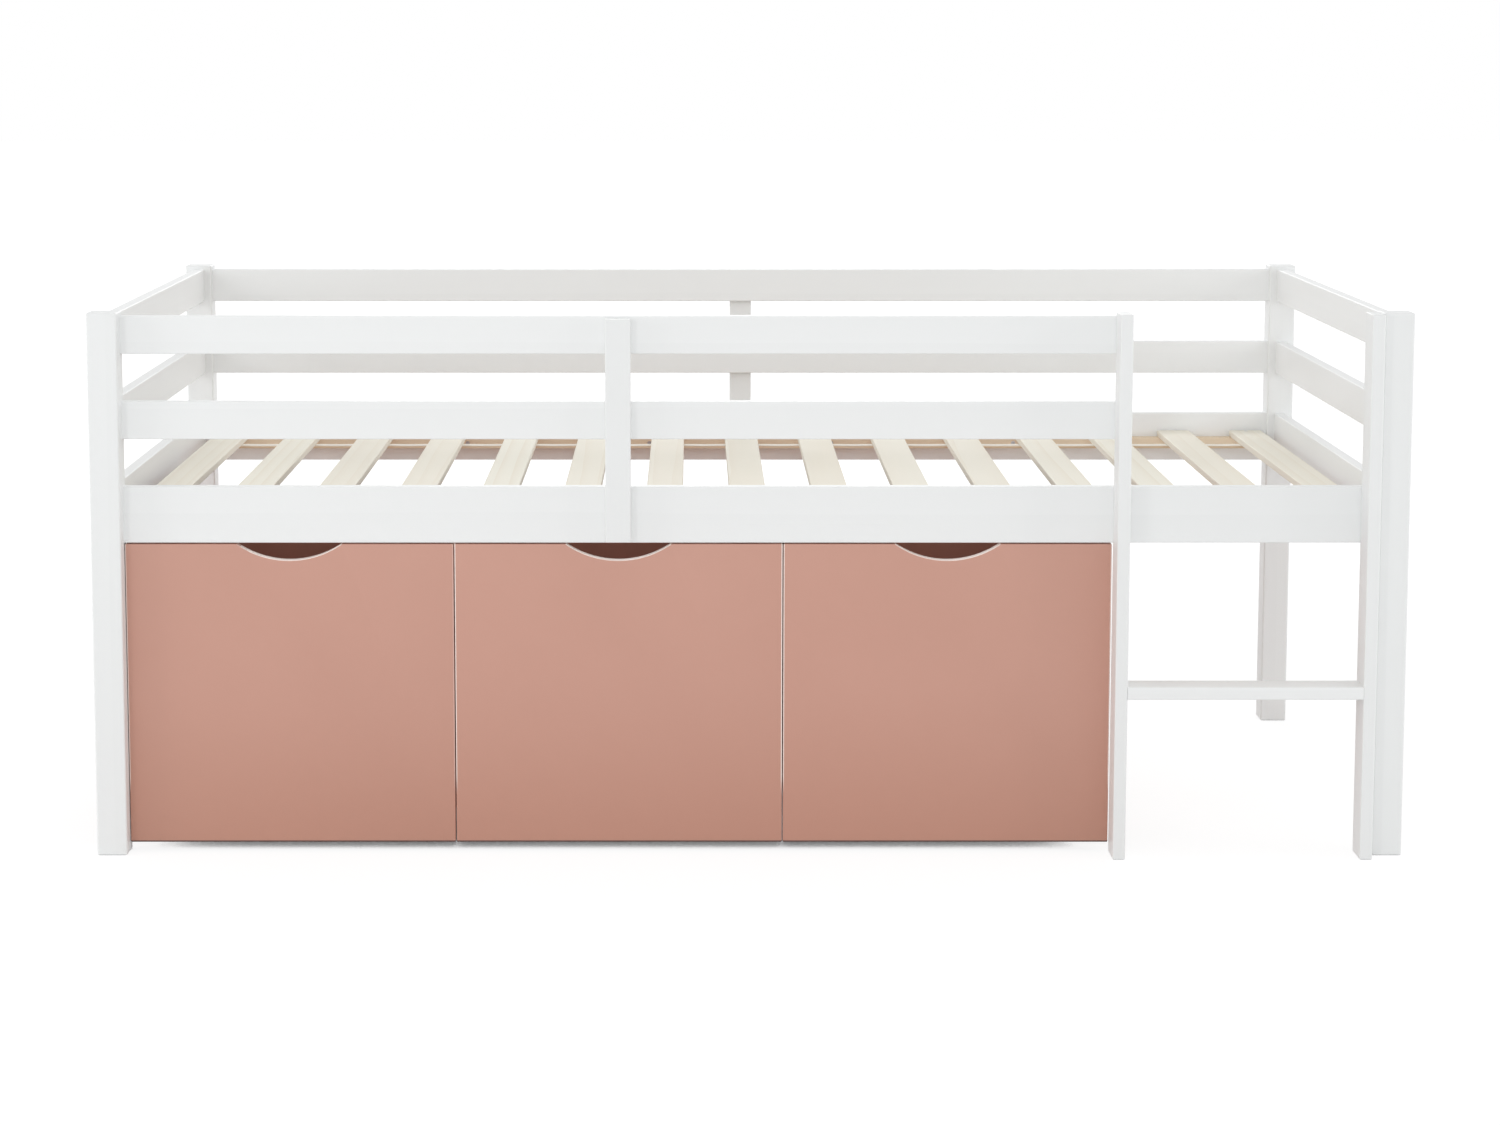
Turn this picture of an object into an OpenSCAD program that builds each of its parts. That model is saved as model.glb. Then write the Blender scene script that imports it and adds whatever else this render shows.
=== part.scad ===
// Mid sleeper bed: a raised single bed with guard rails and a one-step ladder,
// and a row of roll-out storage boxes below it. Millimetres, +Z up, +X along
// the bed, the ladder on the -Y side at the right. The origin lies on the floor
// at the middle of the space that the bed and its ladder stand on.

/* [Mattress] */
// Length of the mattress
mattress_l = 2000; // [1700:10:2200]
// Width of the mattress
mattress_w = 900; // [800:10:1200]
// Play on every side of the mattress
mattress_play = 6; // [4:1:15]

/* [Posts and rails] */
// Height of the posts
bed_h = 868; // [800:1:1000]
// Width and depth of a post
post = 48; // [44:1:60]
// Rounding along a post's long edges
post_r = 3; // [1:0.5:6]
// Bevel round a post's top and foot
post_bevel = 1.5; // [0.5:0.5:3]
// Thickness of every rail
board_t = 20; // [18:1:22]
// Rounding along the edges of rails, struts and ladder
edge_r = 2; // [0.5:0.5:4]
// Bevel round the ends of the struts and the ladder's stiles
end_bevel = 1; // [0.5:0.5:1.5]
// Height of the side rails and of the low end rails
rail_h = 90; // [80:1:120]
// Underside of the side rails above the floor
rail_z = 500; // [450:1:560]
// Height of a guard rail
guard_h = 60; // [50:1:80]
// Height that the posts rise above the top guard rail
post_rise = 7; // [0:1:20]

/* [Struts] */
// Width of an upright strut
strut_w = 40; // [30:1:60]
// Thickness of an upright strut
strut_t = 20; // [16:1:22]
// How much shorter a strut is than the rails that it joins are high
strut_short = 7; // [2:1:12]
// Height of the rear strut's foot above the rail's underside
strut_lift = 7; // [0:1:10]

/* [Ladder] */
// Thickness of a ladder stile
stile_t = 20; // [18:1:25]
// Distance that the ladder stands proud of the posts
ladder_proud = 26; // [10:1:50]
// Clear width between the stiles
ladder_clear = 372; // [300:1:450]
// Gap between the right stile and the post
ladder_gap = 4; // [2:1:20]
// Height of the step's top face
rung_top = 278; // [200:1:320]
// Thickness of the step
rung_t = 20; // [18:1:30]

/* [Slats] */
// Number of slats in each of the three groups
slats_per_group = 5; // [4:1:6]
// Width of a slat
slat_w = 60; // [50:1:75]
// Thickness of a slat
slat_t = 12; // [10:1:16]
// Distance from the end rails to the first and last slat
slat_end = 24; // [20:1:40]
// Drop from the top of the side rail to the top of the slats
slat_drop = 33; // [20:1:40]
// Gap between a slat's end and the side rail
slat_play = 5; // [2:1:8]
// Width of the batten that carries the slats
batten_w = 22; // [18:1:30]
// Height of that batten
batten_h = 20; // [16:1:22]
// Gap between a batten's end and the post
batten_play = 5; // [1:1:8]
// Width of the webbing tape that spaces the slats
tape_w = 20; // [10:1:25]
// Thickness of the webbing tape
tape_t = 1; // [0.5:0.1:2]
// Distance from the side rail to the middle of the tape
tape_in = 117; // [80:1:250]

/* [Storage boxes] */
// Gap between the row of boxes and the frame at both its ends
box_end_gap = 1; // [1:0.5:10]
// Gap between two boxes
box_gap = 1.5; // [1:0.5:10]
// Gap between the front panels and the side rail above them
box_top_gap = 2; // [2:0.5:10]
// Height of the front panel's lower edge above the floor
box_floor_gap = 14; // [8:1:20]
// Depth of a box from front to back
box_depth = 585; // [400:1:800]
// Thickness of the front panel
front_t = 16; // [15:1:19]
// Thickness of the side and back panels
wall_t = 15; // [15:1:18]
// Thickness of the bottom board
bottom_t = 12; // [10:1:15]
// Step from the edge of the front panel to the side wall
wall_inset = 5; // [3:1:20]
// Step from the top of the front panel down to the walls
wall_drop = 17; // [5:1:60]
// Width of the handhold at the top edge of the front panel
hold_w = 166; // [100:1:200]
// Depth of the handhold
hold_d = 26; // [20:1:60]
// Rounding of the front panel's corners
front_r = 2; // [0.5:0.5:5]

/* [Castors] */
// Radius of a wheel
wheel_r = 20; // [17:0.5:21]
// Width of a wheel
wheel_w = 16; // [12:1:20]
// Radius of a wheel's axle
axle_r = 2.5; // [2:0.1:3]
// Running clearance between the axle and the wheel
axle_play = 0.05; // [0.03:0.01:0.1]
// Thickness of the castor's sheet metal
castor_t = 2.5; // [1.5:0.1:3]
// Height of the castor from the floor to its plate's top
castor_h = 50; // [48:1:60]
// Distance from the side of the box to the middle of a castor
castor_in_x = 65; // [50:1:120]
// Distance from the front and back of the box to a castor
castor_in_y = 75; // [50:1:150]

/* [Fasteners] */
// Radius of a connector bolt
bolt_r = 3; // [2.5:0.1:4]
// Radius of its flat head
bolt_head_r = 7.5; // [6:0.5:9]
// Thickness of its flat head
bolt_head_t = 2; // [1.5:0.1:3]
// Radius of a barrel nut
nut_r = 5; // [4.5:0.1:5.5]
// Length of a barrel nut
nut_l = 14; // [12:1:16]
// Distance from a rail's end to its barrel nut
nut_in = 30; // [25:1:35]
// Distance between the two bolts of a side rail
bolt_pitch = 56; // [50:1:60]
// Radius of a wooden dowel
dowel_r = 4; // [3:0.5:4]
// Length of a wooden dowel
dowel_l = 30; // [24:1:32]
// Distance between the two dowels of an end rail
end_dowel_pitch = 28; // [26:1:30]
// Distance between the two dowels of a guard rail
guard_dowel_pitch = 36; // [34:1:38]
// Radius of a wood screw
screw_r = 2; // [1.5:0.1:2.5]
// Radius of its countersunk head
screw_head_r = 4; // [3.5:0.1:5]
// Distance between the two screws of a joint
screw_pitch = 28; // [26:1:30]
// Depth that a screw bites into the second board
screw_bite = 15; // [12:1:16]
// Radius of a cam lock
cam_r = 7.5; // [7:0.1:8]
// Depth of a cam lock
cam_t = 12; // [11:0.5:12.5]
// Distance from the front panel to the middle of a cam lock
cam_in = 24; // [20:1:30]

/* [Hidden] */
$fn = 48;

// Clearances between a fastener and its hole, and past the ends of the cuts
fit = 0.05;
end_fit = 0.5;
cut = 1;

BOX_PIECES = ["front", "side_left", "side_right", "back", "bottom",
              "castor_brackets", "fasteners", "wheels_front", "wheels_rear"];
box_count = 3;

// Colours
WHITE = [0.93, 0.93, 0.92];
PINE = [0.91, 0.85, 0.74];
BATTEN = [0.83, 0.68, 0.5];
PINK = [0.78, 0.6, 0.54];
BEECH = [0.8, 0.66, 0.48];
WEBBING = [0.93, 0.9, 0.83];
ZINC = [0.72, 0.73, 0.75];
TYRE = [0.25, 0.25, 0.26];

// The frame's planes. The end rails stand at the middle of the posts.
inner_l = mattress_l + 2 * mattress_play;
inner_w = mattress_w + 2 * mattress_play;
bed_l = inner_l + board_t + post;
bed_w = inner_w + 2 * post;
x_out = bed_l / 2;
x_in = x_out - post;
x_end_rail = x_out - post / 2;
y_mid = ladder_proud / 2;
y_front = y_mid - bed_w / 2;
y_front_in = y_front + post;
y_rear = y_mid + bed_w / 2;
y_rear_in = y_rear - post;

// Front faces of the long rails: the front ones are flush with the posts on the
// bed's side, and the rear strut is flush with the posts at the back.
y_rail_front = y_front_in - board_t;
y_rail_rear = y_rear - strut_t - board_t;

// Heights of the rails
rail_top = rail_z + rail_h;
guard_top_z = bed_h - post_rise - guard_h;
guard_mid_z = (rail_top + guard_top_z - guard_h) / 2;
rail_mid = rail_z + rail_h / 2;
guard_mid = guard_mid_z + guard_h / 2;
guard_top = guard_top_z + guard_h / 2;

// The ladder and the struts
stile_right_x = x_in - ladder_gap - stile_t;
stile_left_x = stile_right_x - ladder_clear - stile_t;
ladder_y = y_front - ladder_proud;
stile_d = y_rail_front - ladder_y;
guard_front_end = stile_left_x + stile_t;
strut_front_x = (stile_left_x - x_in) / 2;
strut_rear_x = 0;
strut_l = guard_top_z + guard_h - rail_z - strut_short;
strut_front_z = rail_z + strut_short / 2;

// The slats
slat_count = 3 * slats_per_group;
slat_pitch = (inner_l - 2 * slat_end - slat_w) / (slat_count - 1);
slat_first = -inner_l / 2 + slat_end + slat_w / 2;
slat_top = rail_top - slat_drop;
slat_z = slat_top - slat_t;
batten_z = slat_z - batten_h;
batten_l = 2 * (x_in - batten_play);
batten_front_y = y_front_in;
batten_rear_y = y_rail_rear - batten_w;
slat_y = y_front_in + slat_play;
slat_l = y_rail_rear - slat_play - slat_y;
tape_ys = [y_front_in + tape_in, y_rail_rear - tape_in];
tape_l = (slat_count - 1) * slat_pitch + slat_w * 2 / 3;
slat_xs = [for (i = [0:slat_count - 1]) slat_first + i * slat_pitch];

// Staples that hold the tape under each slat
staple_w = 10;
staple_wire = [0.6, 1.2];
staple_leg = 7;

// The boxes
row_l = stile_left_x + x_in - 2 * box_end_gap;
box_w = (row_l - (box_count - 1) * box_gap) / box_count;
front_z = box_floor_gap;
front_top = rail_z - box_top_gap;
front_h = front_top - front_z;
box_y = y_rail_front;
wall_y = box_y + front_t;
wall_l = box_depth - front_t;
wall_z = castor_h;
wall_top = front_top - wall_drop;
wall_h = wall_top - wall_z;
bottom_w = box_w - 2 * (wall_inset + wall_t);
back_y = box_y + box_depth - wall_t;
hold_r = (pow(hold_w / 2, 2) + pow(hold_d, 2)) / (2 * hold_d);

// The castors
castor_ys = [wall_y + castor_in_y, box_y + box_depth - castor_in_y];
castor_x = box_w / 2 - castor_in_x;
plate_x = 46;
plate_y = 38;
cheek_w = 14;
wheel_gap = 1;
cheek_x = wheel_w / 2 + wheel_gap;
rivet_r = axle_r + 1.5;
rivet_t = 1;
axle_l = 2 * (cheek_x + castor_t + end_fit / 4);
hub_r = 8;
rim_t = 5;
web_step = 3;
tread_r = 2.5;
plate_hole = [16, 13];

// The fasteners
bolt_l = post + nut_in + nut_r + 3;
bolt_spare = 2;
screw_head_t = 2.5;
nut_slack = 0.2;
batten_screws = 6;
batten_screw_in = 137;
slat_screw_in = 14;
bite_deep = 25;
cam_zs = [wall_z + wall_h * 0.2, wall_z + wall_h * 0.8];
cam_bolt_bite = 11;
panel_screw_bite = 25;

// Recesses for the driver: the socket of a bolt, and the cross in a screw or a cam
socket_r = 2.3;
socket_t = 2.2;
cross_w = 1;
cross_t = 1.2;
cam_cross_w = 1.8;
cam_cross_t = 2.5;

castor_screw_l = 10;
rung_dowel_shift = dowel_l / 2 - stile_t * 0.6;
batten_screw_xs = [for (i = [0:batten_screws - 1])
    -(x_in - batten_screw_in) + i * 2 * (x_in - batten_screw_in) / (batten_screws - 1)];
castor_screw_r = 1.75;
castor_head_r = 3.5;
castor_head_t = 1.5;
rail_bolt_zs = [rail_mid - bolt_pitch / 2, rail_mid + bolt_pitch / 2];
rail_screw_zs = [for (z = [rail_mid, guard_mid, guard_top]) for (s = [-1, 1]) z + s * screw_pitch / 2];
side_screw_zs = [for (s = [-1, 1]) rail_mid + s * screw_pitch / 2];

// Left edge of a box's front panel, and the middle of the box
function box_x(i) = -x_in + box_end_gap + i * (box_w + box_gap);
function box_mid(i) = box_x(i) + box_w / 2;

// Outlines and boards

module rounded(w, h, r) {
    translate([r, 0]) square([w - 2 * r, h]);
    translate([0, r]) square([w, h - 2 * r]);
    for (x = [r, w - r], y = [r, h - r])
        translate([x, y]) circle(r);
}

// A board along X, with its lowest corner at the given point
module board_x(at, l, t, h, r = edge_r) {
    translate(at) rotate([90, 0, 90]) linear_extrude(l) rounded(t, h, r);
}

// A board along Y
module board_y(at, l, t, h, r = edge_r) {
    translate(at + [0, l, 0]) rotate([90, 0, 0]) linear_extrude(l) rounded(t, h, r);
}

// A board that stands upright
module board_z(at, l, t, d, r = edge_r) {
    translate(at) linear_extrude(l) rounded(t, d, r);
}

// An upright board whose ends are bevelled
module eased_z(at, l, t, d, r, b) {
    intersection() {
        board_z(at, l, t, d, r);
        translate(at) rotate([90, 0, 90]) linear_extrude(t) bevelled(d, l, b);
        translate(at + [0, d, 0]) rotate([90, 0, 0]) linear_extrude(d) bevelled(t, l, b);
    }
}

module bevelled(w, l, b) {
    polygon([[b, 0], [w - b, 0], [w, b], [w, l - b], [w - b, l], [b, l], [0, l - b], [0, b]]);
}

// Fasteners, each drawn along +Z from its head. Grow makes the hole for it.

module bolt(grow = 0) {
    difference() {
        union() {
            cylinder(r = bolt_head_r + grow, h = bolt_head_t);
            cylinder(r = bolt_r + grow, h = bolt_l + (grow > 0 ? bolt_spare : 0));
        }
        if (grow == 0) translate([0, 0, -cut]) cylinder(r = socket_r, h = socket_t + cut, $fn = 6);
    }
}

module screw(l, grow = 0) {
    difference() {
        union() {
            cylinder(r1 = screw_head_r + grow, r2 = screw_r + grow, h = screw_head_t);
            cylinder(r = screw_r + grow, h = l + (grow > 0 ? end_fit : 0));
        }
        if (grow == 0) cross(screw_head_r / 2, cross_w, cross_t);
    }
}

// The cross that a driver turns, cut into a head that lies at the origin
module cross(r, w, t) {
    for (turn = [0, 90])
        rotate(turn) translate([-r, -w / 2, -cut]) cube([2 * r, w, t + cut]);
}

module dowel(grow = 0) {
    extra = grow > 0 ? end_fit : 0;
    translate([0, 0, -dowel_l / 2 - extra]) cylinder(r = dowel_r + grow, h = dowel_l + 2 * extra);
}

// Bolts into one end of a long rail: side is -1 at the left and 1 at the right
module rail_bolts(side, y, zs, grow = 0) {
    for (z = zs)
        translate([side * x_out, y + board_t / 2, z]) rotate([0, -side * 90, 0]) bolt(grow);
}

module rail_nuts(side, y, zs) {
    for (z = zs)
        translate([side * (x_in - nut_in), y + board_t / 2, z]) difference() {
            rotate([90, 0, 0]) cylinder(r = nut_r, h = nut_l, center = true);
            rotate([0, 90, 0]) cylinder(r = bolt_r + fit, h = 2 * nut_r + 2 * cut, center = true);
        }
}

// Holes for the barrel nuts, open at the rail's rear face
module nut_holes(side, y, zs) {
    depth = board_t / 2 + nut_l / 2 + nut_slack;
    for (z = zs)
        translate([side * (x_in - nut_in), y + board_t + cut, z]) rotate([90, 0, 0])
            cylinder(r = nut_r + fit, h = depth + cut);
}

module rail_dowels(side, y, zs, grow = 0) {
    for (z = zs)
        translate([side * x_in, y + board_t / 2, z]) rotate([0, 90, 0]) dowel(grow);
}

// Dowels that join the end rails to the posts at one face of the posts
module end_dowels(side, y, grow = 0) {
    for (mid = [rail_mid, guard_mid, guard_top], s = [-1, 1])
        translate([side * x_end_rail, y, mid + s * end_dowel_pitch / 2]) rotate([90, 0, 0]) dowel(grow);
}

// Screws along Y, from a head at y towards -Y or +Y
module screws_y(xs, y, zs, way, l, grow = 0) {
    for (x = xs, z = zs)
        translate([x, y, z]) rotate([-way * 90, 0, 0]) screw(l, grow);
}

module strut_front_screws(grow = 0) {
    screws_y([strut_front_x], y_front_in, rail_screw_zs, -1, board_t + screw_bite, grow);
}

module strut_rear_screws(grow = 0) {
    screws_y([strut_rear_x], y_rear, rail_screw_zs, -1, strut_t + screw_bite, grow);
}

module stile_left_screws(grow = 0) {
    screws_y([stile_left_x + stile_t / 2], y_front_in, rail_screw_zs, -1, board_t + bite_deep, grow);
}

module stile_right_screws(grow = 0) {
    screws_y([stile_right_x + stile_t / 2], y_front_in, side_screw_zs, -1, board_t + bite_deep, grow);
}

module batten_front_screws(grow = 0) {
    screws_y(batten_screw_xs, batten_front_y + batten_w, [batten_z + batten_h / 2], -1,
             batten_w + screw_bite - screw_head_t, grow);
}

module batten_rear_screws(grow = 0) {
    screws_y(batten_screw_xs, batten_rear_y, [batten_z + batten_h / 2], 1,
             batten_w + screw_bite - screw_head_t, grow);
}

// Screws that hold the first and the last slat on the battens
module slat_screws(grow = 0) {
    ys = [y_front_in + slat_screw_in, y_rail_rear - slat_screw_in];
    for (x = [slat_xs[0], slat_xs[slat_count - 1]], y = ys)
        translate([x, y, slat_top]) rotate([180, 0, 0]) screw(slat_t + screw_bite, grow);
}

// A dowel of the step reaches further into the step than into the thin stile
module rung_dowels(grow = 0) {
    for (x = [stile_left_x + stile_t, stile_right_x], y = [0.25, 0.75])
        translate([x, ladder_y + y * stile_d, rung_top - rung_t / 2]) rotate([0, 90, 0])
            translate([0, 0, x < stile_right_x ? rung_dowel_shift : -rung_dowel_shift]) dowel(grow);
}

// Posts and rails

module square_post(x, y) {
    eased_z([x, y, 0], bed_h, post, post, post_r, post_bevel);
}

// Heights of the dowels between a guard rail and a post
function guard_dowel_zs(mid) = [mid - guard_dowel_pitch / 2, mid + guard_dowel_pitch / 2];

module post_front(side, guarded) {
    zs = guarded ? concat(rail_bolt_zs, [guard_mid, guard_top]) : rail_bolt_zs;
    guard_zs = concat(guard_dowel_zs(guard_mid), guard_dowel_zs(guard_top));
    dowel_zs = guarded ? concat([rail_mid], guard_zs) : [rail_mid];
    color(WHITE) difference() {
        square_post(side < 0 ? -x_out : x_in, y_front);
        rail_bolts(side, y_rail_front, zs, fit);
        rail_dowels(side, y_rail_front, dowel_zs, fit);
        end_dowels(side, y_front_in, fit);
    }
}

module post_rear(side) {
    color(WHITE) difference() {
        square_post(side < 0 ? -x_out : x_in, y_rear_in);
        rail_bolts(side, y_rail_rear, concat(rail_bolt_zs, [guard_mid, guard_top]), fit);
        rail_dowels(side, y_rail_rear,
                    concat([rail_mid], guard_dowel_zs(guard_mid), guard_dowel_zs(guard_top)), fit);
        end_dowels(side, y_rear_in, fit);
    }
}

module side_rail_front() {
    color(WHITE) difference() {
        board_x([-x_in, y_rail_front, rail_z], 2 * x_in, board_t, rail_h);
        for (side = [-1, 1]) {
            rail_bolts(side, y_rail_front, rail_bolt_zs, fit);
            nut_holes(side, y_rail_front, rail_bolt_zs);
            rail_dowels(side, y_rail_front, [rail_mid], fit);
        }
        strut_front_screws(fit);
        stile_left_screws(fit);
        stile_right_screws(fit);
        batten_front_screws(fit);
    }
}

module side_rail_rear() {
    color(WHITE) difference() {
        board_x([-x_in, y_rail_rear, rail_z], 2 * x_in, board_t, rail_h);
        for (side = [-1, 1]) {
            rail_bolts(side, y_rail_rear, rail_bolt_zs, fit);
            nut_holes(side, y_rail_rear, rail_bolt_zs);
            rail_dowels(side, y_rail_rear, [rail_mid], fit);
        }
        strut_rear_screws(fit);
        batten_rear_screws(fit);
    }
}

// A front guard rail runs from the left post to the back of the left stile
module guard_rail_front(z) {
    mid = z + guard_h / 2;
    color(WHITE) difference() {
        board_x([-x_in, y_rail_front, z], guard_front_end + x_in, board_t, guard_h);
        rail_bolts(-1, y_rail_front, [mid], fit);
        nut_holes(-1, y_rail_front, [mid]);
        rail_dowels(-1, y_rail_front, guard_dowel_zs(mid), fit);
        strut_front_screws(fit);
        stile_left_screws(fit);
    }
}

module guard_rail_rear(z) {
    mid = z + guard_h / 2;
    color(WHITE) difference() {
        board_x([-x_in, y_rail_rear, z], 2 * x_in, board_t, guard_h);
        for (side = [-1, 1]) {
            rail_bolts(side, y_rail_rear, [mid], fit);
            nut_holes(side, y_rail_rear, [mid]);
            rail_dowels(side, y_rail_rear, guard_dowel_zs(mid), fit);
        }
        strut_rear_screws(fit);
    }
}

module end_rail(side, z, h) {
    color(WHITE) difference() {
        board_y([side * x_end_rail - board_t / 2, y_front_in, z], inner_w, board_t, h);
        end_dowels(side, y_front_in, fit);
        end_dowels(side, y_rear_in, fit);
    }
}

module guard_strut_front() {
    color(WHITE) difference() {
        eased_z([strut_front_x - strut_w / 2, y_rail_front - strut_t, strut_front_z],
                strut_l, strut_w, strut_t, edge_r, end_bevel);
        strut_front_screws(fit);
    }
}

module guard_strut_rear() {
    color(WHITE) difference() {
        eased_z([strut_rear_x - strut_w / 2, y_rear - strut_t, rail_z + strut_lift],
                strut_l, strut_w, strut_t, edge_r, end_bevel);
        strut_rear_screws(fit);
    }
}

// Ladder

module ladder_stile_left() {
    color(WHITE) difference() {
        eased_z([stile_left_x, ladder_y, 0], bed_h, stile_t, stile_d, edge_r, end_bevel);
        stile_left_screws(fit);
        rung_dowels(fit);
    }
}

module ladder_stile_right() {
    color(WHITE) difference() {
        eased_z([stile_right_x, ladder_y, 0], bed_h, stile_t, stile_d, edge_r, end_bevel);
        stile_right_screws(fit);
        rung_dowels(fit);
    }
}

module ladder_rung() {
    color(WHITE) difference() {
        board_x([guard_front_end, ladder_y, rung_top - rung_t], ladder_clear, stile_d, rung_t);
        rung_dowels(fit);
    }
}

// Slats

module slat_batten_front() {
    color(BATTEN) difference() {
        board_x([-batten_l / 2, batten_front_y, batten_z], batten_l, batten_w, batten_h, edge_r / 2);
        batten_front_screws(fit);
        slat_screws(fit);
    }
}

module slat_batten_rear() {
    color(BATTEN) difference() {
        board_x([-batten_l / 2, batten_rear_y, batten_z], batten_l, batten_w, batten_h, edge_r / 2);
        batten_rear_screws(fit);
        slat_screws(fit);
    }
}

// One staple lies along X under the tape and reaches up into the slat
module staple(x, y, grow = 0) {
    w = staple_wire[1] + 2 * grow;
    t = staple_wire[0];
    z = slat_z - tape_t - t;
    translate([x - staple_w / 2, y - w / 2, z]) cube([staple_w, w, t]);
    for (side = [-1, 1])
        translate([x + side * (staple_w / 2 - t / 2) - t / 2 - grow, y - w / 2, z])
            cube([t + 2 * grow, w, tape_t + t + staple_leg + grow]);
}

module slats(first, last) {
    color(PINE) for (i = [first:last])
        difference() {
            board_y([slat_xs[i] - slat_w / 2, slat_y, slat_z], slat_l, slat_w, slat_t);
            for (y = tape_ys) staple(slat_xs[i], y, fit);
            if (i == 0 || i == slat_count - 1) slat_screws(fit);
        }
}

module slat_tapes() {
    color(WEBBING) for (y = tape_ys)
        difference() {
            translate([-tape_l / 2, y - tape_w / 2, slat_z - tape_t]) cube([tape_l, tape_w, tape_t]);
            for (x = slat_xs) staple(x, y, fit);
        }
}

module tape_staples() {
    color(ZINC) for (y = tape_ys, x = slat_xs) staple(x, y);
}

// Fasteners of the frame

module frame_bolts() {
    color(ZINC) {
        for (side = [-1, 1]) {
            rail_bolts(side, y_rail_front, rail_bolt_zs);
            rail_bolts(side, y_rail_rear, concat(rail_bolt_zs, [guard_mid, guard_top]));
        }
        rail_bolts(-1, y_rail_front, [guard_mid, guard_top]);
    }
}

module barrel_nuts() {
    color(ZINC) {
        for (side = [-1, 1]) {
            rail_nuts(side, y_rail_front, rail_bolt_zs);
            rail_nuts(side, y_rail_rear, concat(rail_bolt_zs, [guard_mid, guard_top]));
        }
        rail_nuts(-1, y_rail_front, [guard_mid, guard_top]);
    }
}

module frame_dowels() {
    color(BEECH) {
        for (side = [-1, 1]) {
            rail_dowels(side, y_rail_front, [rail_mid]);
            rail_dowels(side, y_rail_rear,
                        concat([rail_mid], guard_dowel_zs(guard_mid), guard_dowel_zs(guard_top)));
            end_dowels(side, y_front_in);
            end_dowels(side, y_rear_in);
        }
        rail_dowels(-1, y_rail_front, concat(guard_dowel_zs(guard_mid), guard_dowel_zs(guard_top)));
        rung_dowels();
    }
}

module frame_screws() {
    color(ZINC) {
        strut_front_screws();
        strut_rear_screws();
        stile_left_screws();
        stile_right_screws();
        batten_front_screws();
        batten_rear_screws();
        slat_screws();
    }
}

// Storage boxes

// Everything that fastens one box is drawn about the middle of its front edge
module cams(grow = 0) {
    wall_x = box_w / 2 - wall_inset - wall_t;
    for (side = [-1, 1], z = cam_zs)
        translate([side * wall_x, wall_y + cam_in, z]) rotate([0, side * 90, 0]) {
            if (grow > 0) translate([0, 0, -cut]) cylinder(r = cam_r + grow, h = cam_t + cut);
            else difference() {
                cylinder(r = cam_r, h = cam_t);
                cross(cam_r / 2, cam_cross_w, cam_cross_t);
            }
        }
}

module cam_bolts(grow = 0) {
    for (side = [-1, 1], z = cam_zs)
        translate([side * (box_w / 2 - wall_inset - wall_t / 2), wall_y - cam_bolt_bite - grow, z])
            rotate([-90, 0, 0]) cylinder(r = bolt_r + grow, h = cam_bolt_bite + cam_in + 2 * grow);
}

module panel_screws(grow = 0) {
    bottom_ys = [for (k = [0.15, 0.5, 0.85]) wall_y + k * (wall_l - wall_t)];
    back_zs = [for (k = [0.25, 0.55, 0.85]) wall_z + k * wall_h];
    spots = concat([for (y = bottom_ys) [y, wall_z + bottom_t / 2]],
                   [for (z = back_zs) [back_y + wall_t / 2, z]]);
    for (side = [-1, 1], spot = spots)
        translate([side * (box_w / 2 - wall_inset), spot[0], spot[1]]) rotate([0, -side * 90, 0])
            screw(wall_t + panel_screw_bite, grow);
}

module at_castors(ys) {
    for (x = [-castor_x, castor_x], y = ys) translate([x, y, 0]) children();
}

module castor_screws(grow = 0) {
    at_castors(castor_ys) for (sx = [-1, 1], sy = [-1, 1])
        translate([sx * plate_hole[0], sy * plate_hole[1], castor_h - castor_t]) {
            cylinder(r = castor_screw_r + grow, h = castor_t + castor_screw_l + grow);
            translate([0, 0, -castor_head_t]) difference() {
                cylinder(r = castor_head_r, h = castor_head_t);
                cross(castor_head_r * 0.6, cross_w, cross_t);
            }
        }
}

module box_front(i) {
    color(PINK) translate([box_mid(i), 0, 0]) difference() {
        translate([-box_w / 2, wall_y, front_z]) rotate([90, 0, 0]) linear_extrude(front_t)
            rounded(box_w, front_h, front_r);
        translate([0, wall_y + cut, front_top - hold_d + hold_r]) rotate([90, 0, 0])
            cylinder(r = hold_r, h = front_t + 2 * cut, $fn = 180);
        cam_bolts(fit);
    }
}

module box_side(i, side) {
    x = side < 0 ? -box_w / 2 + wall_inset : box_w / 2 - wall_inset - wall_t;
    color(PINK) translate([box_mid(i), 0, 0]) difference() {
        board_y([x, wall_y, wall_z], wall_l, wall_t, wall_h, edge_r / 2);
        cams(fit);
        cam_bolts(fit);
        panel_screws(fit);
    }
}

module box_back(i) {
    color(PINK) translate([box_mid(i), 0, 0]) difference() {
        board_x([-bottom_w / 2, back_y, wall_z], bottom_w, wall_t, wall_h, edge_r / 2);
        panel_screws(fit);
    }
}

module box_bottom(i) {
    color(PINK) translate([box_mid(i), 0, 0]) difference() {
        translate([-bottom_w / 2, wall_y, wall_z]) cube([bottom_w, back_y - wall_y, bottom_t]);
        panel_screws(fit);
        castor_screws(fit);
    }
}

module box_fasteners(i) {
    color(ZINC) translate([box_mid(i), 0, 0]) {
        difference() {
            cams();
            cam_bolts(fit);
        }
        cam_bolts();
        panel_screws();
        castor_screws();
    }
}

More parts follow.
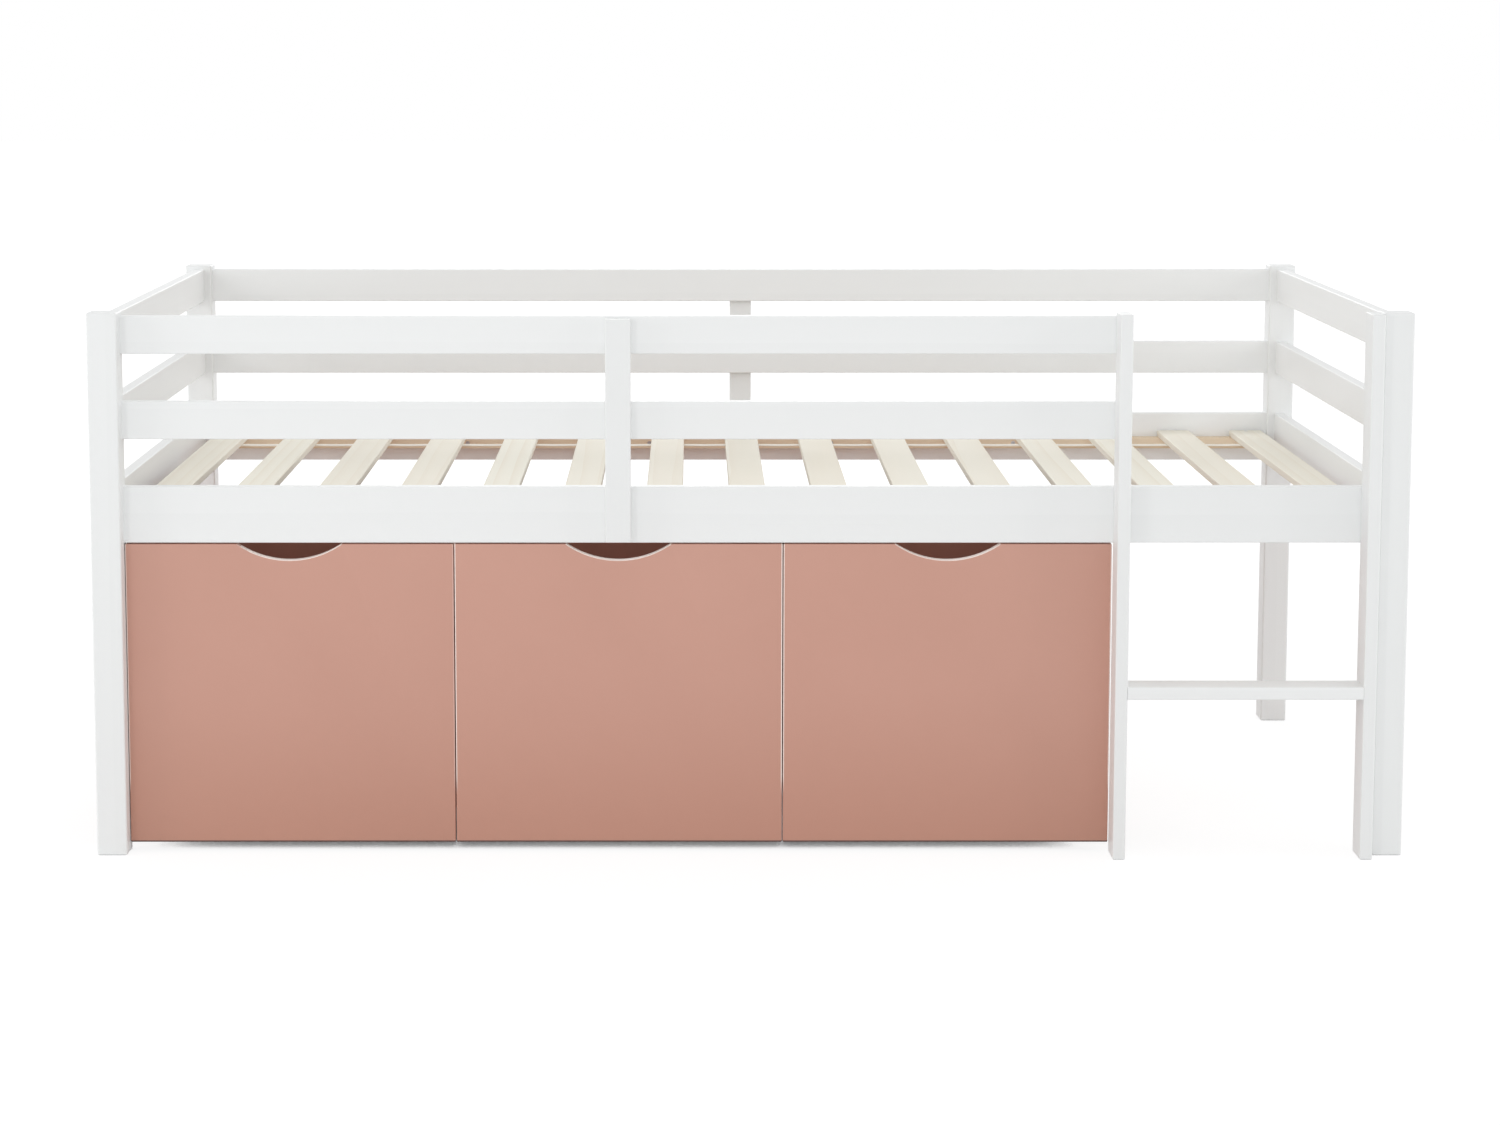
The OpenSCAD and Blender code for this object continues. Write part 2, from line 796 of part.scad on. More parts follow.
// A folded sheet with two cheeks
module castor_bracket() {
    difference() {
        union() {
            translate([-plate_x / 2, -plate_y / 2, castor_h - castor_t]) cube([plate_x, plate_y, castor_t]);
            for (side = [-1, 1])
                translate([side * (cheek_x + castor_t / 2) - castor_t / 2, 0, 0]) rotate([90, 0, 90])
                    linear_extrude(castor_t) {
                        translate([0, wheel_r]) circle(cheek_w / 2);
                        translate([-cheek_w / 2, wheel_r]) square([cheek_w, castor_h - castor_t - wheel_r]);
                    }
        }
        translate([-axle_l, 0, wheel_r]) rotate([0, 90, 0])
            cylinder(r = axle_r + axle_play, h = 2 * axle_l);
        for (sx = [-1, 1], sy = [-1, 1])
            translate([sx * plate_hole[0], sy * plate_hole[1], castor_h - castor_t - cut])
                cylinder(r = castor_screw_r + fit, h = castor_t + 2 * cut);
    }
}

// An axle with a rivet head outside each cheek
module castor_axle() {
    translate([0, 0, wheel_r]) rotate([0, 90, 0]) {
        cylinder(r = axle_r, h = axle_l, center = true);
        for (side = [-1, 1])
            translate([0, 0, side * (axle_l / 2 + rivet_t / 2)])
                cylinder(r = rivet_r, h = rivet_t, center = true);
    }
}

module box_castor_brackets(i) {
    color(ZINC) translate([box_mid(i), 0, 0]) at_castors(castor_ys) {
        castor_bracket();
        castor_axle();
    }
}

// A wheel turned about its axle, with its web thinner than its tyre and hub
module wheel() {
    w = wheel_w / 2;
    bore = axle_r + axle_play;
    rim = wheel_r - rim_t;
    translate([0, 0, wheel_r]) rotate([0, 90, 0]) rotate_extrude() difference() {
        union() {
            translate([bore, -w]) square([wheel_r - tread_r - bore, wheel_w]);
            translate([bore, tread_r - w]) square([wheel_r - bore, wheel_w - 2 * tread_r]);
            for (y = [tread_r - w, w - tread_r]) translate([wheel_r - tread_r, y]) circle(tread_r);
        }
        for (y = [-w - cut, w - web_step]) translate([hub_r, y]) square([rim - hub_r, web_step + cut]);
    }
}

module box_wheels(i, y) {
    color(TYRE) translate([box_mid(i), 0, 0]) at_castors([y]) wheel();
}

post_front(-1, true);  // post_front_left
post_front(1, false);  // post_front_right
post_rear(-1);  // post_rear_left
post_rear(1);  // post_rear_right
side_rail_front();
side_rail_rear();
guard_rail_front(guard_mid_z);  // guard_rail_front_mid
guard_rail_front(guard_top_z);  // guard_rail_front_top
guard_rail_rear(guard_mid_z);  // guard_rail_rear_mid
guard_rail_rear(guard_top_z);  // guard_rail_rear_top
end_rail(-1, rail_z, rail_h);  // end_rail_left_low
end_rail(-1, guard_mid_z, guard_h);  // end_rail_left_mid
end_rail(-1, guard_top_z, guard_h);  // end_rail_left_top
end_rail(1, rail_z, rail_h);  // end_rail_right_low
end_rail(1, guard_mid_z, guard_h);  // end_rail_right_mid
end_rail(1, guard_top_z, guard_h);  // end_rail_right_top
guard_strut_front();
guard_strut_rear();
ladder_stile_left();
ladder_stile_right();
ladder_rung();
slat_batten_front();
slat_batten_rear();
slats(0, slats_per_group - 1);  // slats_left
slats(slats_per_group, 2 * slats_per_group - 1);  // slats_middle
slats(2 * slats_per_group, slat_count - 1);  // slats_right
slat_tapes();
tape_staples();
frame_bolts();
barrel_nuts();
frame_dowels();
frame_screws();
for (i = [0:box_count - 1]) {
    name = str("box_", i + 1, "_");
    box_front(i);
    box_side(i, -1);
    box_side(i, 1);
    box_back(i);
    box_bottom(i);
    box_castor_brackets(i);
    box_fasteners(i);
    box_wheels(i, castor_ys[0]);
    box_wheels(i, castor_ys[1]);
}
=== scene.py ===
"""Looks of the mid sleeper bed: painted boards, pine slats, pink storage boxes, studio light and camera."""
import math

import bpy
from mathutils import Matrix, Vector


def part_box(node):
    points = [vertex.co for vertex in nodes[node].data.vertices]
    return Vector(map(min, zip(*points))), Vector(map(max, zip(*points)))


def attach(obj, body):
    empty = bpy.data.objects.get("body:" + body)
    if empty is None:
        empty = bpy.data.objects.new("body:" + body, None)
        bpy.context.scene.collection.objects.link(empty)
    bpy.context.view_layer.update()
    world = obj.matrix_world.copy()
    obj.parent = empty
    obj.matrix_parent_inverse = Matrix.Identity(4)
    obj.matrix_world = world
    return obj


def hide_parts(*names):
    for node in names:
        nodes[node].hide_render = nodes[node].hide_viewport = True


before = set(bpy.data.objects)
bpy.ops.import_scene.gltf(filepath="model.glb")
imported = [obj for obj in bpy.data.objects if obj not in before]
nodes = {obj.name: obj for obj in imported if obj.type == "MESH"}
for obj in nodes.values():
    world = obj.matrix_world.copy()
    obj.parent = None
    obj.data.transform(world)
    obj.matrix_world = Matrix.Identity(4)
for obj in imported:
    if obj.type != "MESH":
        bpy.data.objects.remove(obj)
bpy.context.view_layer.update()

BOXES = (1, 2, 3)
MM = 0.001
HIGHLIGHT_MASK = "painted_edge_light"

# Boards of the frame by the way their grain runs
BOARDS_ALONG = {
    "X": ["side_rail_front", "side_rail_rear", "guard_rail_front_mid", "guard_rail_front_top",
          "guard_rail_rear_mid", "guard_rail_rear_top", "ladder_rung"],
    "Y": ["end_rail_left_low", "end_rail_left_mid", "end_rail_left_top",
          "end_rail_right_low", "end_rail_right_mid", "end_rail_right_top"],
    "Z": ["post_front_left", "post_front_right", "post_rear_left", "post_rear_right",
          "guard_strut_front", "guard_strut_rear", "ladder_stile_left", "ladder_stile_right"],
}
# Turn that brings each way of the grain onto the pattern's own X
GRAIN_TURN = {"X": (0, 0, 0), "Y": (0, 0, -math.pi / 2), "Z": (0, math.pi / 2, 0)}

SLAT_PITCH = 136 * MM
SLAT_FIRST = -952 * MM
SLAT_COUNT = 15
SLAT_WIDTH = 60 * MM


# Camera, fitted to edges measured in the photograph

CAMERA_PLACE = (-0.0926, -5.2755, 1.3128)
CAMERA_TILT = math.radians(83.40)
SENSOR_WIDTH = 36
FOCAL_LENGTH = 73.77
LENS_SHIFT = (0.0392, -0.12)


def add_camera():
    """The photograph's view: from the front, a little above the bed and looking slightly down."""
    bpy.ops.object.camera_add(location=CAMERA_PLACE, rotation=(CAMERA_TILT, 0, 0))
    camera = bpy.context.object
    camera.name = "photo_camera"
    camera.data.sensor_fit = "HORIZONTAL"
    camera.data.sensor_width = SENSOR_WIDTH
    camera.data.lens = FOCAL_LENGTH
    camera.data.shift_x, camera.data.shift_y = LENS_SHIFT
    bpy.context.scene.camera = camera


# Shader helpers

def add_node(tree, kind, x, y, **settings):
    node = tree.nodes.new(kind)
    node.location = (x, y)
    for key, value in settings.items():
        setattr(node, key, value)
    return node


def math_node(tree, operation, a, b, x, y):
    """A Math node whose inputs are sockets or numbers."""
    node = add_node(tree, "ShaderNodeMath", x, y, operation=operation)
    for socket, value in zip(node.inputs, (a, b)):
        if isinstance(value, (int, float)):
            socket.default_value = value
        else:
            tree.links.new(value, socket)
    return node.outputs[0]


def colour_mix(tree, factor, a, b, x, y, blend="MIX"):
    """A colour Mix node whose inputs are sockets, numbers or colours."""
    node = add_node(tree, "ShaderNodeMix", x, y, data_type="RGBA", blend_type=blend)
    for index, value in ((0, factor), (6, a), (7, b)):
        socket = node.inputs[index]
        if isinstance(value, (int, float)):
            socket.default_value = value
        elif isinstance(value, tuple):
            socket.default_value = value + (1,)
        else:
            tree.links.new(value, socket)
    return node.outputs[2]


def fade_over(tree, height, none_at, full_at, y):
    """Goes from 0 to 1 between two heights above the floor and stays so beyond them."""
    fade = add_node(tree, "ShaderNodeMapRange", -720, y, interpolation_type="SMOOTHSTEP")
    fade.inputs["From Min"].default_value = none_at
    fade.inputs["From Max"].default_value = full_at
    tree.links.new(height, fade.inputs["Value"])
    return fade.outputs[0]


def new_group(name, inputs, outputs):
    """A node group with named sockets. A number given with an input is its starting value."""
    group = bpy.data.node_groups.new(name, "ShaderNodeTree")
    for label, kind, value in inputs:
        socket = group.interface.new_socket(label, in_out="INPUT", socket_type=kind)
        if value is not None:
            socket.default_value = value
    for label, kind in outputs:
        group.interface.new_socket(label, in_out="OUTPUT", socket_type=kind)
    start = add_node(group, "NodeGroupInput", -900, 0)
    end = add_node(group, "NodeGroupOutput", 900, 0)
    return group, start, end


def place_group(tree, group, x, y, **values):
    node = add_node(tree, "ShaderNodeGroup", x, y)
    node.node_tree = group
    for label, value in values.items():
        socket = node.inputs[label.replace("_", " ")]
        if isinstance(value, (int, float, tuple)):
            socket.default_value = value
        else:
            tree.links.new(value, socket)
    return node


# Effects that several materials use

# Share of the pattern's own scale along the grain, for the rings and once more for the fibres
GRAIN_STRETCH = (0.07, 1, 1)
FIBRE_STRETCH = (0.35, 1, 1)


def make_wood_grain():
    """Year rings and fibres of a board whose grain runs along the vector's X."""
    group, start, end = new_group(
        "wood_grain",
        [("Vector", "NodeSocketVector", None), ("Ring Scale", "NodeSocketFloat", None),
         ("Waviness", "NodeSocketFloat", 0.02)],
        [("Rings", "NodeSocketFloat"), ("Fibres", "NodeSocketFloat")])
    links = group.links
    stretch = add_node(group, "ShaderNodeVectorMath", -700, 0, operation="MULTIPLY")
    stretch.inputs[1].default_value = GRAIN_STRETCH
    links.new(start.outputs["Vector"], stretch.inputs[0])
    drift = add_node(group, "ShaderNodeTexNoise", -520, -180)
    drift.inputs["Scale"].default_value = 9
    drift.inputs["Detail"].default_value = 2
    links.new(stretch.outputs[0], drift.inputs["Vector"])
    centred = add_node(group, "ShaderNodeVectorMath", -340, -180, operation="SUBTRACT")
    centred.inputs[1].default_value = (0.5, 0.5, 0.5)
    links.new(drift.outputs["Color"], centred.inputs[0])
    scaled = add_node(group, "ShaderNodeVectorMath", -180, -180, operation="SCALE")
    links.new(centred.outputs[0], scaled.inputs[0])
    links.new(start.outputs["Waviness"], scaled.inputs["Scale"])
    bent = add_node(group, "ShaderNodeVectorMath", -20, 0, operation="ADD")
    links.new(stretch.outputs[0], bent.inputs[0])
    links.new(scaled.outputs[0], bent.inputs[1])
    rings = add_node(group, "ShaderNodeTexWave", 160, 120, wave_type="RINGS", rings_direction="X",
                     wave_profile="SAW")
    rings.inputs["Distortion"].default_value = 1.2
    rings.inputs["Detail"].default_value = 2
    rings.inputs["Detail Scale"].default_value = 1.5
    links.new(bent.outputs[0], rings.inputs["Vector"])
    links.new(start.outputs["Ring Scale"], rings.inputs["Scale"])
    fibre_stretch = add_node(group, "ShaderNodeVectorMath", -20, -320, operation="MULTIPLY")
    fibre_stretch.inputs[1].default_value = FIBRE_STRETCH
    links.new(bent.outputs[0], fibre_stretch.inputs[0])
    fibres = add_node(group, "ShaderNodeTexNoise", 160, -320)
    fibres.inputs["Scale"].default_value = 420
    fibres.inputs["Detail"].default_value = 3
    fibres.inputs["Roughness"].default_value = 0.6
    links.new(fibre_stretch.outputs[0], fibres.inputs["Vector"])
    links.new(rings.outputs["Fac"], end.inputs["Rings"])
    links.new(fibres.outputs["Fac"], end.inputs["Fibres"])
    return group


def make_paint_skin():
    """The fine orange peel of sprayed paint, and slow changes of tone and gloss over a board."""
    group, start, end = new_group(
        "paint_skin",
        [("Vector", "NodeSocketVector", None), ("Peel Scale", "NodeSocketFloat", 700.0)],
        [("Peel", "NodeSocketFloat"), ("Clouds", "NodeSocketFloat")])
    links = group.links
    peel = add_node(group, "ShaderNodeTexNoise", -300, 120)
    peel.inputs["Detail"].default_value = 2
    links.new(start.outputs["Vector"], peel.inputs["Vector"])
    links.new(start.outputs["Peel Scale"], peel.inputs["Scale"])
    clouds = add_node(group, "ShaderNodeTexNoise", -300, -160)
    clouds.inputs["Scale"].default_value = 5
    clouds.inputs["Detail"].default_value = 3
    links.new(start.outputs["Vector"], clouds.inputs["Vector"])
    links.new(peel.outputs["Fac"], end.inputs["Peel"])
    links.new(clouds.outputs["Fac"], end.inputs["Clouds"])
    return group


def make_weave():
    """Plain weave of a tape that lies along X: crossing threads as a height from 0 to 1."""
    group, start, end = new_group(
        "weave",
        [("Vector", "NodeSocketVector", None), ("Threads", "NodeSocketFloat", None)],
        [("Height", "NodeSocketFloat")])
    links = group.links
    waves = []
    for direction, y in (("X", 120), ("Y", -160)):
        wave = add_node(group, "ShaderNodeTexWave", -300, y, bands_direction=direction)
        links.new(start.outputs["Vector"], wave.inputs["Vector"])
        links.new(start.outputs["Threads"], wave.inputs["Scale"])
        waves.append(wave.outputs["Fac"])
    high = math_node(group, "MULTIPLY", waves[0], waves[1], 100, 0)
    links.new(high, end.inputs["Height"])
    return group


WOOD_GRAIN = make_wood_grain()
PAINT_SKIN = make_paint_skin()
WEAVE = make_weave()


# Materials

def start_material(name, turn=(0, 0, 0)):
    """A material with its shader and its place on the object, turned to suit the grain."""
    material = bpy.data.materials.new(name)
    material.use_nodes = True
    tree = material.node_tree
    shader = tree.nodes["Principled BSDF"]
    where = add_node(tree, "ShaderNodeTexCoord", -1400, 0)
    mapping = add_node(tree, "ShaderNodeMapping", -1200, 0)
    mapping.inputs["Rotation"].default_value = turn
    tree.links.new(where.outputs["Object"], mapping.inputs["Vector"])
    return material, tree, shader, mapping.outputs[0]


def add_bump(tree, shader, height, distance, strength):
    bump = add_node(tree, "ShaderNodeBump", -260, -420)
    bump.inputs["Distance"].default_value = distance
    bump.inputs["Strength"].default_value = strength
    tree.links.new(height, bump.inputs["Height"])
    tree.links.new(bump.outputs[0], shader.inputs["Normal"])


# The upright pieces get the same white a shade deeper than the rails: painted shade, for the dimmer light
# that falls on them
WHITE = {"X": (0.862, 0.872, 0.87), "Y": (0.862, 0.87, 0.868), "Z": (0.835, 0.845, 0.842)}
GRAIN_UNDER_WHITE = 0.977


def white_paint(axis):
    """Satin white over planed pine: the grain just shows through the paint."""
    material, tree, shader, place = start_material(f"white_paint_{axis.lower()}", GRAIN_TURN[axis])
    grain = place_group(tree, WOOD_GRAIN, -900, 200, Vector=place, Ring_Scale=7.0)
    skin = place_group(tree, PAINT_SKIN, -900, -200, Vector=place)
    tone = math_node(tree, "MULTIPLY", grain.outputs["Rings"], skin.outputs["Clouds"], -650, 200)
    shaded = tuple(GRAIN_UNDER_WHITE * part for part in WHITE[axis])
    colour = colour_mix(tree, tone, WHITE[axis], shaded, -450, 200)
    tree.links.new(colour, shader.inputs["Base Color"])
    gloss = math_node(tree, "MULTIPLY", skin.outputs["Clouds"], 0.12, -650, -60)
    rough = math_node(tree, "ADD", gloss, 0.4, -450, -60)
    tree.links.new(rough, shader.inputs["Roughness"])
    under = math_node(tree, "MULTIPLY", grain.outputs["Fibres"], 0.7, -650, -340)
    height = math_node(tree, "ADD", under, skin.outputs["Peel"], -450, -340)
    add_bump(tree, shader, height, 0.00025, 0.35)
    return material


SLAT_EARLY_WOOD = (0.865, 0.84, 0.74)
SLAT_LATE_WOOD = (0.77, 0.695, 0.56)
SLAT_STREAK = (0.79, 0.725, 0.60)
SLAT_DEEPER_TONE = (0.82, 0.765, 0.66)
# The furthest that one slat's piece of the pattern lies from another's
SLAT_JUMP = (3, 0.5, 0.1)


def slat_pine():
    """Bare planed pine for the slats. Each slat has its own tone and its own piece of grain."""
    material, tree, shader, place = start_material("slat_pine", GRAIN_TURN["Y"])
    links = tree.links
    where = add_node(tree, "ShaderNodeTexCoord", -1900, 300)
    split = add_node(tree, "ShaderNodeSeparateXYZ", -1700, 300)
    links.new(where.outputs["Object"], split.inputs[0])
    along = math_node(tree, "SUBTRACT", split.outputs["X"], SLAT_FIRST - SLAT_PITCH / 2, -1520, 300)
    count = math_node(tree, "DIVIDE", along, SLAT_PITCH, -1360, 300)
    index = math_node(tree, "FLOOR", count, 0, -1200, 300)
    pick = add_node(tree, "ShaderNodeTexWhiteNoise", -1040, 300, noise_dimensions="1D")
    links.new(index, pick.inputs["W"])
    jump = add_node(tree, "ShaderNodeVectorMath", -1040, 60, operation="MULTIPLY")
    jump.inputs[1].default_value = SLAT_JUMP
    links.new(pick.outputs["Color"], jump.inputs[0])
    moved = add_node(tree, "ShaderNodeVectorMath", -880, 0, operation="ADD")
    links.new(place, moved.inputs[0])
    links.new(jump.outputs[0], moved.inputs[1])
    grain = place_group(tree, WOOD_GRAIN, -700, 200, Vector=moved.outputs[0], Ring_Scale=16.0,
                        Waviness=0.03)
    late = math_node(tree, "POWER", grain.outputs["Rings"], 3, -500, 260)
    lines = math_node(tree, "MULTIPLY", late, 0.55, -340, 260)
    figure = colour_mix(tree, lines, SLAT_EARLY_WOOD, SLAT_LATE_WOOD, -180, 260)
    fibre = math_node(tree, "MULTIPLY", grain.outputs["Fibres"], 0.25, -500, 60)
    streaked = colour_mix(tree, fibre, figure, SLAT_STREAK, -20, 200)
    tone = math_node(tree, "MULTIPLY", pick.outputs["Value"], 0.6, -500, -100)
    colour = colour_mix(tree, tone, streaked, SLAT_DEEPER_TONE, 140, 200)
    links.new(colour, shader.inputs["Base Color"])
    shader.inputs["Roughness"].default_value = 0.62
    add_bump(tree, shader, grain.outputs["Fibres"], 0.0004, 0.4)
    return material


BATTEN_EARLY_WOOD = (0.85, 0.71, 0.53)
BATTEN_LATE_WOOD = (0.66, 0.49, 0.32)


def batten_pine():
    """Yellower pine of the battens, with stronger rings."""
    material, tree, shader, place = start_material("batten_pine")
    grain = place_group(tree, WOOD_GRAIN, -900, 200, Vector=place, Ring_Scale=14.0, Waviness=0.04)
    late = math_node(tree, "POWER", grain.outputs["Rings"], 2, -650, 260)
    figure = colour_mix(tree, late, BATTEN_EARLY_WOOD, BATTEN_LATE_WOOD, -450, 260)
    tree.links.new(figure, shader.inputs["Base Color"])
    shader.inputs["Roughness"].default_value = 0.6
    add_bump(tree, shader, grain.outputs["Fibres"], 0.0004, 0.4)
    return material


BEECH = (0.75, 0.58, 0.40)
BEECH_FLECK = (0.6, 0.42, 0.26)


def dowel_beech():
    """Beech of the dowels, with its short dark flecks."""
    material, tree, shader, place = start_material("dowel_beech")
    grain = place_group(tree, WOOD_GRAIN, -900, 200, Vector=place, Ring_Scale=30.0)
    colour = colour_mix(tree, grain.outputs["Fibres"], BEECH, BEECH_FLECK, -450, 200)
    tree.links.new(colour, shader.inputs["Base Color"])
    shader.inputs["Roughness"].default_value = 0.6
    add_bump(tree, shader, grain.outputs["Fibres"], 0.0003, 0.3)
    return material


# Dusty pink, with the lighter and the darker tone of its clouds
PINK_FRONT = ((0.60, 0.325, 0.255), (0.57, 0.305, 0.237))
# The walls' pink is the front's pink made darker: painted shade for the dim inside of the boxes
PINK_WALL_SHADED = ((0.49, 0.235, 0.18), (0.46, 0.22, 0.168))
# Pink darkened towards the floor: painted shade
PINK_SHADED_LOW = (0.535, 0.275, 0.205)
# Pale colour painted on edges that catch the light: a painted highlight
HIGHLIGHT_PALE = (0.93, 0.81, 0.75)
# Dark colour painted along the panels' lower edge: a painted contact shadow
CONTACT_SHADOW_DARK = (0.10, 0.05, 0.04)
# Heights above the floor from which and up to which each change comes in
SHADED_BELOW = (300 * MM, 0)
HIGHLIGHT_FROM = (90 * MM, 125 * MM)
CONTACT_SHADOW_BELOW = (17.5 * MM, 16 * MM)


def pink_paint(name, tones, painted_light=False):
    """Dusty pink sprayed on board, a little uneven in tone. With painted light on, a pale painted highlight
    lies over the handhold's edge and the upright edges, but not near the floor. Towards the floor the pink
    is darker as painted shade, and its lower edge is painted dark as a painted contact shadow."""
    material, tree, shader, place = start_material(name)
    skin = place_group(tree, PAINT_SKIN, -900, 0, Vector=place, Peel_Scale=450.0)
    colour = colour_mix(tree, skin.outputs["Clouds"], *tones, -450, 200)
    if painted_light:
        split = add_node(tree, "ShaderNodeSeparateXYZ", -900, 760)
        tree.links.new(place, split.inputs[0])
        # Painted shade: the pink turns darker towards the floor
        low_shade = fade_over(tree, split.outputs["Z"], *SHADED_BELOW, 760)
        colour = colour_mix(tree, low_shade, colour, PINK_SHADED_LOW, -300, 200)
        # Painted highlight: pale colour over the marked edges, fading out near the floor
        edge = add_node(tree, "ShaderNodeAttribute", -500, 420, attribute_name=HIGHLIGHT_MASK)
        speckle = math_node(tree, "MULTIPLY", skin.outputs["Peel"], 0.5, -500, 600)
        uneven = math_node(tree, "ADD", speckle, 0.75, -340, 600)
        lit_edge = math_node(tree, "MULTIPLY", edge.outputs["Fac"], uneven, -180, 480)
        lit_height = fade_over(tree, split.outputs["Z"], *HIGHLIGHT_FROM, 1240)
        lit_edge = math_node(tree, "MULTIPLY", lit_edge, lit_height, -20, 480)
        colour = colour_mix(tree, lit_edge, colour, HIGHLIGHT_PALE, -140, 300)
        # Painted contact shadow: dark along the lower edge
        contact_shadow = fade_over(tree, split.outputs["Z"], *CONTACT_SHADOW_BELOW, 1000)
        colour = colour_mix(tree, contact_shadow, colour, CONTACT_SHADOW_DARK, 40, 300)
    tree.links.new(colour, shader.inputs["Base Color"])
    gloss = math_node(tree, "MULTIPLY", skin.outputs["Clouds"], 0.1, -650, -60)
    rough = math_node(tree, "ADD", gloss, 0.48, -450, -60)
    tree.links.new(rough, shader.inputs["Roughness"])
    add_bump(tree, shader, skin.outputs["Peel"], 0.0002, 0.3)
    return material


COTTON_HOLLOW = (0.90, 0.85, 0.76)
COTTON_THREAD = (0.96, 0.93, 0.87)


def cotton_webbing():
    """Cream woven tape."""
    material, tree, shader, place = start_material("cotton_webbing")
    weave = place_group(tree, WEAVE, -900, 0, Vector=place, Threads=260.0)
    colour = colour_mix(tree, weave.outputs["Height"], COTTON_HOLLOW, COTTON_THREAD, -450, 200)
    tree.links.new(colour, shader.inputs["Base Color"])
    shader.inputs["Roughness"].default_value = 0.85
    shader.inputs["Sheen Weight"].default_value = 0.2
    add_bump(tree, shader, weave.outputs["Height"], 0.0004, 0.6)
    return material


ZINC_BRIGHT = (0.72, 0.73, 0.76)
ZINC_CLOUDED = (0.58, 0.59, 0.61)


def bright_zinc():
    """Zinc-plated steel with faint clouded plating."""
    material, tree, shader, place = start_material("bright_zinc")
    skin = place_group(tree, PAINT_SKIN, -900, 0, Vector=place, Peel_Scale=900.0)
    colour = colour_mix(tree, skin.outputs["Clouds"], ZINC_BRIGHT, ZINC_CLOUDED, -450, 200)
    tree.links.new(colour, shader.inputs["Base Color"])
    shader.inputs["Metallic"].default_value = 1
    rough = math_node(tree, "MULTIPLY", skin.outputs["Peel"], 0.25, -650, -60)
    rough = math_node(tree, "ADD", rough, 0.22, -450, -60)
    tree.links.new(rough, shader.inputs["Roughness"])
    add_bump(tree, shader, skin.outputs["Peel"], 0.0001, 0.2)
    return material


WHEEL_DARK = (0.055, 0.055, 0.06)
WHEEL_DUSTY = (0.10, 0.10, 0.10)


def wheel_plastic():
    """Dark moulded plastic of the castor wheels, dusty in places."""
    material, tree, shader, place = start_material("wheel_plastic")
    skin = place_group(tree, PAINT_SKIN, -900, 0, Vector=place, Peel_Scale=1100.0)
    colour = colour_mix(tree, skin.outputs["Clouds"], WHEEL_DARK, WHEEL_DUSTY, -450, 200)
    tree.links.new(colour, shader.inputs["Base Color"])
    rough = math_node(tree, "MULTIPLY", skin.outputs["Peel"], 0.3, -650, -60)
    rough = math_node(tree, "ADD", rough, 0.4, -450, -60)
    tree.links.new(rough, shader.inputs["Roughness"])
    add_bump(tree, shader, skin.outputs["Peel"], 0.0002, 0.3)
    return material


# Modelling helpers

def clear_selection():
    bpy.ops.object.select_all(action="DESELECT")


def pick_only(piece):
    clear_selection()
    piece.select_set(True)
    bpy.context.view_layer.objects.active = piece


def settle(piece):
    """Puts the piece's place, turn and size into its mesh."""
    pick_only(piece)
    bpy.ops.object.transform_apply(location=True, rotation=True, scale=True)


def apply_modifier(piece, kind, **settings):
    pick_only(piece)
    modifier = piece.modifiers.new(kind.lower(), kind)
    for key, value in settings.items():
        setattr(modifier, key, value)
    bpy.ops.object.modifier_apply(modifier=modifier.name)


def smooth_edges(piece):
    pick_only(piece)
    bpy.ops.object.shade_smooth_by_angle(angle=math.radians(35))


def dress(piece, material, slot, body, *replaced):
    """Gives a finished piece its material and puts it in the place of its CAD nodes."""
    piece.data.materials.clear()
    piece.data.materials.append(material)
    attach(piece, body)
    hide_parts(*replaced)


# Pieces

HOLD_RADIUS = 145.48 * MM
HOLD_DEPTH = 26 * MM
CUTTER_LENGTH = 60 * MM
PANEL_EASE = 1.8 * MM
# How strongly the pale painted highlight shows on each panel's left and right upright edge, where the edges
# catch the light.
SIDE_HIGHLIGHT = {1: (0.8, 0.25), 2: (0.9, 1.0), 3: (0.8, 0.7)}
# A face is part of an eased edge when no part of its normal reaches this
FLAT = 0.995


def model_front_panel():
    """The middle box's front panel: a board with the handhold cut from its top edge and eased edges."""
    low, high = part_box("box_2_front")
    middle = (low + high) / 2
    clear_selection()
    bpy.ops.mesh.primitive_cube_add(size=1, location=middle, scale=high - low)
    panel = bpy.context.object
    settle(panel)
    bpy.ops.mesh.primitive_cylinder_add(
        vertices=360, radius=HOLD_RADIUS, depth=CUTTER_LENGTH,
        location=(middle.x, middle.y, high.z - HOLD_DEPTH + HOLD_RADIUS), rotation=(math.pi / 2, 0, 0))
    cutter = bpy.context.object
    settle(cutter)
    apply_modifier(panel, "BOOLEAN", operation="DIFFERENCE", object=cutter, solver="EXACT")
    bpy.data.objects.remove(cutter)
    apply_modifier(panel, "BEVEL", width=PANEL_EASE, segments=4, limit_method="ANGLE",
                   angle_limit=math.radians(25))
    smooth_edges(panel)
    return panel


def mark_highlighted_faces(panel, left_light, right_light):
    """Marks the handhold's upward sawn edge fully and the upright eased edges by their own strength, for the
    pale painted highlight.
    """
    mesh = panel.data
    lit_edge = mesh.attributes.new(HIGHLIGHT_MASK, "FLOAT", "FACE")
    top = max(vertex.co.z for vertex in mesh.vertices)
    for face in mesh.polygons:
        eased = max(abs(part) for part in face.normal) < FLAT
        looks_up = abs(face.normal.y) < 0.9 and face.normal.z > 0.5
        looks_sideways = abs(face.normal.x) > 0.15
        if looks_up and face.center.z < top - 2 * PANEL_EASE:
            lit_edge.data[face.index].value = 1
        elif eased and looks_sideways:
            lit_edge.data[face.index].value = left_light if face.normal.x < 0 else right_light


